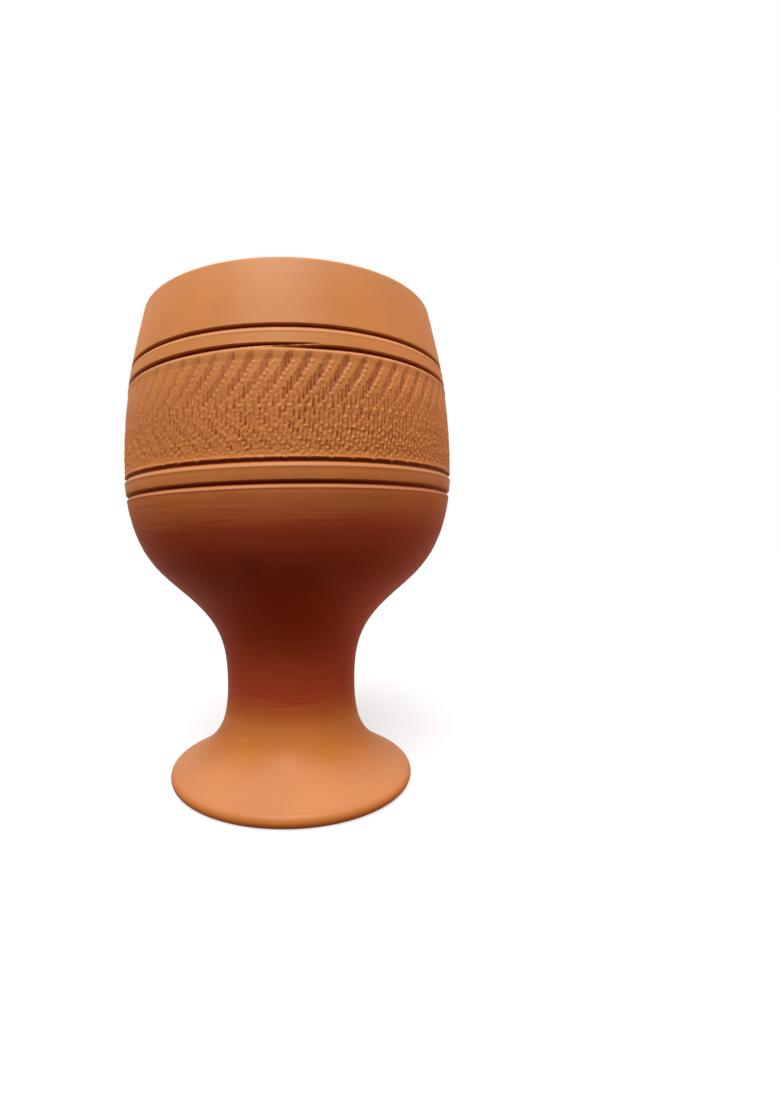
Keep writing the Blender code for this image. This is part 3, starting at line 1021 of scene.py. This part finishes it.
def level_streaks(tree, place, tone_and_light):
    """Socket of level streaks in the clay: noise in long, flat cells, less its middle value.

    It keeps its strength on the bowl and the stem, and is calmer on the foot, where it would show as rings.
    """
    stretched = add_node(tree, "ShaderNodeMapping", {
        "Vector": place, "Scale": (1.0 / STREAK_LENGTH, 1.0 / STREAK_LENGTH, 1.0 / STREAK_HEIGHT)})
    noise = add_node(tree, "ShaderNodeTexNoise", {
        "Vector": stretched.outputs[0], "Scale": 1.0, "Detail": NOISE_DETAIL})
    centred = add_node(tree, "ShaderNodeMath", {
        0: noise.outputs["Fac"], 1: NOISE_MIDDLE}, operation="SUBTRACT")
    calm = add_node(tree, "ShaderNodeMapRange", {
        "Value": tone_and_light, "From Min": CALM_FROM, "From Max": CALM_TO, "To Min": 1.0, "To Max": CALM_LEFT})
    return add_node(tree, "ShaderNodeMath", {
        0: centred.outputs[0], 1: calm.outputs[0]}, operation="MULTIPLY").outputs[0]


def tone_and_light_colour(tree, tone_and_light, streaks):
    """Colour socket of the tone, which also paints shade and sheen: a ramp with a colour at each whole
    number, shifted by the streaks.
    """
    shift = add_node(tree, "ShaderNodeMapRange", {
        "Value": streaks, "From Min": -NOISE_SWING, "From Max": NOISE_SWING,
        "To Min": -STREAK_SHIFT, "To Max": STREAK_SHIFT})
    shifted = add_node(tree, "ShaderNodeMath", {0: tone_and_light, 1: shift.outputs[0]}, operation="ADD")
    ramp_place = add_node(tree, "ShaderNodeMapRange", {
        "Value": shifted.outputs[0], "From Min": float(PALE_SHEEN), "From Max": float(DUST_AND_SHEEN)})
    ramp = add_node(tree, "ShaderNodeValToRGB", {"Fac": ramp_place.outputs[0]})
    stops = ramp.color_ramp.elements
    for number, colour in TONE_AND_LIGHT_COLOURS.items():
        stop = {PALE_SHEEN: stops[0], DUST_AND_SHEEN: stops[-1]}.get(number) or stops.new(number / DUST_AND_SHEEN)
        stop.color = colour
    return ramp.outputs["Color"]


print("streaks are calmed by", round(1.0 - CALM_LEFT, 2), "on the foot")

# %% Mottled clay, painted highlight and painted shade in the cuts
CLOUD_TONE = 0.07
STREAK_TONE = 0.025
PAINTED_HIGHLIGHT_MOST = 0.6
RECESS_SHADE_FROM = 0.22
RECESS_SHADE_TO = 0.75
RECESS_SHADE_MOST = 0.95
# Sockets of a Mix node that mixes colours: its share, its two colours and its result
MIX_SHARE = 0
MIX_FIRST = 6
MIX_SECOND = 7
MIX_RESULT = 2


def mottling(tree, place, streaks):
    """Brightness socket of fired clay, close to 1: broad clouds from the kiln times the streaks."""
    clouds = add_node(tree, "ShaderNodeTexNoise", {
        "Vector": place, "Scale": 1.0 / CLOUD_SIZE, "Detail": NOISE_DETAIL})
    cloudy = add_node(tree, "ShaderNodeMapRange", {
        "Value": clouds.outputs["Fac"],
        "From Min": NOISE_MIDDLE - NOISE_SWING, "From Max": NOISE_MIDDLE + NOISE_SWING,
        "To Min": 1.0 - CLOUD_TONE, "To Max": 1.0 + CLOUD_TONE})
    brushed = add_node(tree, "ShaderNodeMapRange", {
        "Value": streaks, "From Min": -NOISE_SWING, "From Max": NOISE_SWING,
        "To Min": 1.0 - STREAK_TONE, "To Max": 1.0 + STREAK_TONE})
    return add_node(tree, "ShaderNodeMath", {
        0: cloudy.outputs[0], 1: brushed.outputs[0]}, operation="MULTIPLY").outputs[0]


def clay_colour(tree, place):
    """Colour socket of the clay: its mottled tone, mixed with a painted highlight where the cut is below
    zero and with painted shade where it is deep.
    """
    tone_and_light = add_node(tree, "ShaderNodeAttribute", attribute_name="tone_and_light").outputs["Fac"]
    cut = add_node(tree, "ShaderNodeAttribute", attribute_name="cut").outputs["Fac"]
    streaks = level_streaks(tree, place, tone_and_light)
    mottled = add_node(tree, "ShaderNodeMix", {
        MIX_SHARE: 1.0, MIX_FIRST: tone_and_light_colour(tree, tone_and_light, streaks),
        MIX_SECOND: mottling(tree, place, streaks)}, data_type="RGBA", blend_type="MULTIPLY")
    painted_highlight_share = add_node(tree, "ShaderNodeMapRange", {
        "Value": cut, "From Min": PAINTED_HIGHLIGHT_CUT, "From Max": 0.0, "To Min": PAINTED_HIGHLIGHT_MOST, "To Max": 0.0})
    painted_highlight = add_node(tree, "ShaderNodeMix", {
        MIX_SHARE: painted_highlight_share.outputs[0], MIX_FIRST: mottled.outputs[MIX_RESULT],
        MIX_SECOND: PAINTED_HIGHLIGHT_CLAY}, data_type="RGBA")
    darkened_share = add_node(tree, "ShaderNodeMapRange", {
        "Value": cut, "From Min": RECESS_SHADE_FROM, "From Max": RECESS_SHADE_TO, "To Min": 0.0, "To Max": RECESS_SHADE_MOST})
    darkened = add_node(tree, "ShaderNodeMix", {
        MIX_SHARE: darkened_share.outputs[0], MIX_FIRST: painted_highlight.outputs[MIX_RESULT],
        MIX_SECOND: RECESS_SHADE_CLAY}, data_type="RGBA")
    return darkened.outputs[MIX_RESULT]


print("clay is fully opened at a cut of", RECESS_SHADE_TO, "mm")

# %% The two terracottas
CLAY_ROUGHNESS = 0.75
CLAY_IOR = 1.5
CLAY_SPECULAR = 0.1
COAT_ROUGHNESS = 0.4
BURNISHED_COAT = 0.22
PAINTED_SHADE_COAT = 0.08
GRIT_STRENGTH = 0.35
GRIT_DETAIL = 2.0


def terracotta(name, coat):
    """Fired clay with fine grit, and a coat weight for how far its skin was burnished."""
    material = bpy.data.materials.new(name)
    material.use_nodes = True
    tree = material.node_tree
    tree.nodes.clear()
    place = add_node(tree, "ShaderNodeTexCoord").outputs["Object"]
    grit = add_node(tree, "ShaderNodeTexNoise", {
        "Vector": place, "Scale": 1.0 / GRIT_SIZE, "Detail": GRIT_DETAIL})
    bump = add_node(tree, "ShaderNodeBump", {
        "Height": grit.outputs["Fac"], "Strength": GRIT_STRENGTH, "Distance": GRIT_RELIEF})
    shader = add_node(tree, "ShaderNodeBsdfPrincipled", {
        "Base Color": clay_colour(tree, place), "Normal": bump.outputs[0],
        "Roughness": CLAY_ROUGHNESS, "IOR": CLAY_IOR, "Specular IOR Level": CLAY_SPECULAR,
        "Coat Weight": coat, "Coat Roughness": COAT_ROUGHNESS})
    add_node(tree, "ShaderNodeOutputMaterial", {"Surface": shader.outputs[0]})
    print(name, "has", len(tree.nodes), "nodes")
    return material


# Burnished skin has a soft white sheen towards the light. Under the painted shade there is little, so the
# red stays deep
burnished_clay = terracotta("burnished_terracotta", BURNISHED_COAT)
painted_shade_clay = terracotta("painted_shade_terracotta", PAINTED_SHADE_COAT)

# %% [markdown]
# ## Into the frame
#
# On the real pot these surfaces are the skin of the clay sections, so each has to stand for its solid in
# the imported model. They could be parented by hand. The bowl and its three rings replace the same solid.

# %% Fit the pieces into the frame
fitted = [
    (bowl, "bowl", "bowl_clay"),
    *((ring, "bowl", "bowl_clay") for ring in band_rings),
    (bowl_lute, "bowl_lute", "upper_slip"),
    (stem, "stem", "stem_clay"),
    (foot_lute, "foot_lute", "lower_slip"),
    (foot, "foot", "foot_clay"),
]
for piece, node_name, slot_name in fitted:
    piece.data.materials.append(burnished_clay)
    piece.data.materials.append(painted_shade_clay)
    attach(piece, "root")
    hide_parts(node_name)
print("pieces fitted:", len(fitted))

# %% [markdown]
# ## Studio
#
# The goblet stands on a pale floor under one big soft light from above, in front and slightly to the
# left. Two weak, warm lights lie low on either side, and one behind lights the back. Area lamps would
# fade across the floor, so these are sun lamps with a wide angle. To the camera and in reflections the
# floor and the world are white. The light that they bounce into the shade is weak and warm instead, as
# from a wooden bench, and the bench is darker in front of the pot than behind it. A Light Path node tells
# the two kinds of ray apart.

# %% Lamps
# Name, azimuth, elevation and spread in degrees, strength, colour. Azimuth 0 is in front, 90 on the right
LAMPS = [
    ("soft_key", -12.0, 58.0, 40.0, 3.9, "#FFFFFF"),
    ("soft_right", 95.0, 8.0, 40.0, 0.5, "#FFD0B0"),
    ("soft_left", -95.0, 8.0, 40.0, 0.25, "#FFD0B0"),
    ("soft_back", 180.0, 50.0, 45.0, 0.6, "#FFFFFF"),
]

for lamp_name, azimuth, elevation, spread, strength, colour in LAMPS:
    lamp_data = bpy.data.lights.new(lamp_name, "SUN")
    lamp_data.angle = math.radians(spread)
    lamp_data.energy = strength
    lamp_data.color = linear_colour(colour)[:3]
    lamp = bpy.data.objects.new(lamp_name, lamp_data)
    across, up = math.radians(azimuth), math.radians(elevation)
    towards = Vector((math.sin(across) * math.cos(up), -math.cos(across) * math.cos(up), math.sin(up)))
    lamp.rotation_euler = towards.to_track_quat("Z", "Y").to_euler()
    bpy.context.scene.collection.objects.link(lamp)
    print(lamp_name, "shines from", tuple(round(v, 2) for v in towards))

# %% Floor
FLOOR_SIZE = 8.0

half = FLOOR_SIZE / 2.0
floor_corners = [(-half, -half, 0.0), (half, -half, 0.0), (half, half, 0.0), (-half, half, 0.0)]
floor_mesh = bpy.data.meshes.new("floor")
floor_mesh.from_pydata(floor_corners, [], [(0, 1, 2, 3)])
floor = bpy.data.objects.new("floor", floor_mesh)
bpy.context.scene.collection.objects.link(floor)
print("floor:", FLOOR_SIZE, "m wide")

# %% Floor paint
FLOOR_SEEN = linear_colour("#9E9E9E")
FLOOR_GLOW = 0.68
FRONT_BOUNCE = linear_colour("#3C1E10")
BACK_BOUNCE = linear_colour("#E2B062")
SHADE_SLANT = 0.25
SHADED_TO = -0.06
LIT_FROM = 0.06


def shown_directly(tree):
    """Socket that is 1 for rays from the camera, reflections or through glass, and 0 for bounced light."""
    ray = add_node(tree, "ShaderNodeLightPath")
    shown = add_node(tree, "ShaderNodeMath", {
        0: ray.outputs["Is Camera Ray"], 1: ray.outputs["Is Glossy Ray"]}, operation="MAXIMUM")
    return add_node(tree, "ShaderNodeMath", {
        0: shown.outputs[0], 1: ray.outputs["Is Transmission Ray"]}, operation="MAXIMUM").outputs[0]


# A pale matt paint, which glows a little so that it looks white and still takes the pot's soft shadow
floor_paint = bpy.data.materials.new("pale_matt_floor")
floor_paint.use_nodes = True
floor_mesh.materials.append(floor_paint)
tree = floor_paint.node_tree
tree.nodes.clear()
spot = add_node(tree, "ShaderNodeSeparateXYZ", {0: add_node(tree, "ShaderNodeTexCoord").outputs["Object"]})
slanted = add_node(tree, "ShaderNodeMath", {
    0: spot.outputs["X"], 1: SHADE_SLANT, 2: spot.outputs["Y"]}, operation="MULTIPLY_ADD")
lit_share = add_node(tree, "ShaderNodeMapRange", {
    "Value": slanted.outputs[0], "From Min": SHADED_TO, "From Max": LIT_FROM})
lit_floor = add_node(tree, "ShaderNodeMix", {
    MIX_SHARE: lit_share.outputs[0], MIX_FIRST: FRONT_BOUNCE, MIX_SECOND: BACK_BOUNCE}, data_type="RGBA")
bounce = add_node(tree, "ShaderNodeBsdfDiffuse", {"Color": lit_floor.outputs[MIX_RESULT]})
matt = add_node(tree, "ShaderNodeBsdfDiffuse", {"Color": FLOOR_SEEN})
glow = add_node(tree, "ShaderNodeEmission", {"Strength": FLOOR_GLOW})
pale = add_node(tree, "ShaderNodeAddShader", {0: matt.outputs[0], 1: glow.outputs[0]})
either = add_node(tree, "ShaderNodeMixShader", {
    0: shown_directly(tree), 1: bounce.outputs[0], 2: pale.outputs[0]})
add_node(tree, "ShaderNodeOutputMaterial", {"Surface": either.outputs[0]})
print("the floor's bounce brightens from", SHADED_TO, "to", LIT_FROM, "m behind the pot's axis")

# %% World
WORLD_FILL = linear_colour("#52402F")
WHITE = linear_colour("#FFFFFF")

world = bpy.data.worlds.new("studio")
bpy.context.scene.world = world
world.use_nodes = True
tree = world.node_tree
tree.nodes.clear()
fill = add_node(tree, "ShaderNodeBackground", {"Color": WORLD_FILL})
white = add_node(tree, "ShaderNodeBackground", {"Color": WHITE})
either = add_node(tree, "ShaderNodeMixShader", {
    0: shown_directly(tree), 1: fill.outputs[0], 2: white.outputs[0]})
add_node(tree, "ShaderNodeOutputWorld", {"Surface": either.outputs[0]})
print("fill light from the world:", [round(v, 3) for v in WORLD_FILL[:3]])

# %% [markdown]
# ## Camera
#
# The photograph was taken from very close, about 16 cm from the pot's axis, so the bowl bulges towards
# the viewer. A camera could be nudged by eye until the outline fits. This one was worked out from the
# outline and the curves of the grooves, which gave its place, its three angles, its focal length and the
# pixel that it points at, in the photograph's frame. Blender wants the last two as a lens in mm and as a
# shift of the frame.

# %% Camera
CAMERA_PLACE = Vector((0.0, -0.15899, 0.06770))  # in metres
CAMERA_YAW = math.radians(3.236)
CAMERA_PITCH = math.radians(-2.652)
CAMERA_ROLL = math.radians(-0.342)
PHOTO_WIDTH = 780
PHOTO_HEIGHT = 1108
FOCAL_PIXELS = 539.6
CENTRE_PIXEL = (321.1, 569.0)
SENSOR_WIDTH = 36.0
NEAREST_SEEN = 5.0 * MM

camera_data = bpy.data.cameras.new("camera")
camera_data.sensor_width = SENSOR_WIDTH
camera_data.lens = FOCAL_PIXELS * SENSOR_WIDTH / PHOTO_HEIGHT
camera_data.shift_x = (PHOTO_WIDTH / 2.0 - CENTRE_PIXEL[0]) / PHOTO_HEIGHT
camera_data.shift_y = (CENTRE_PIXEL[1] - PHOTO_HEIGHT / 2.0) / PHOTO_HEIGHT
camera_data.clip_start = NEAREST_SEEN
camera = bpy.data.objects.new("camera", camera_data)
camera_turn = (
    Matrix.Rotation(-CAMERA_YAW, 3, "Z")
    @ Matrix.Rotation(math.pi / 2.0 + CAMERA_PITCH, 3, "X")
    @ Matrix.Rotation(CAMERA_ROLL, 3, "Z")
)
camera.matrix_world = Matrix.Translation(CAMERA_PLACE) @ camera_turn.to_4x4()
bpy.context.scene.collection.objects.link(camera)
bpy.context.scene.camera = camera
bpy.context.scene.view_settings.view_transform = "Standard"
print("camera axes:", [tuple(round(v, 5) for v in column) for column in camera_turn.transposed()])
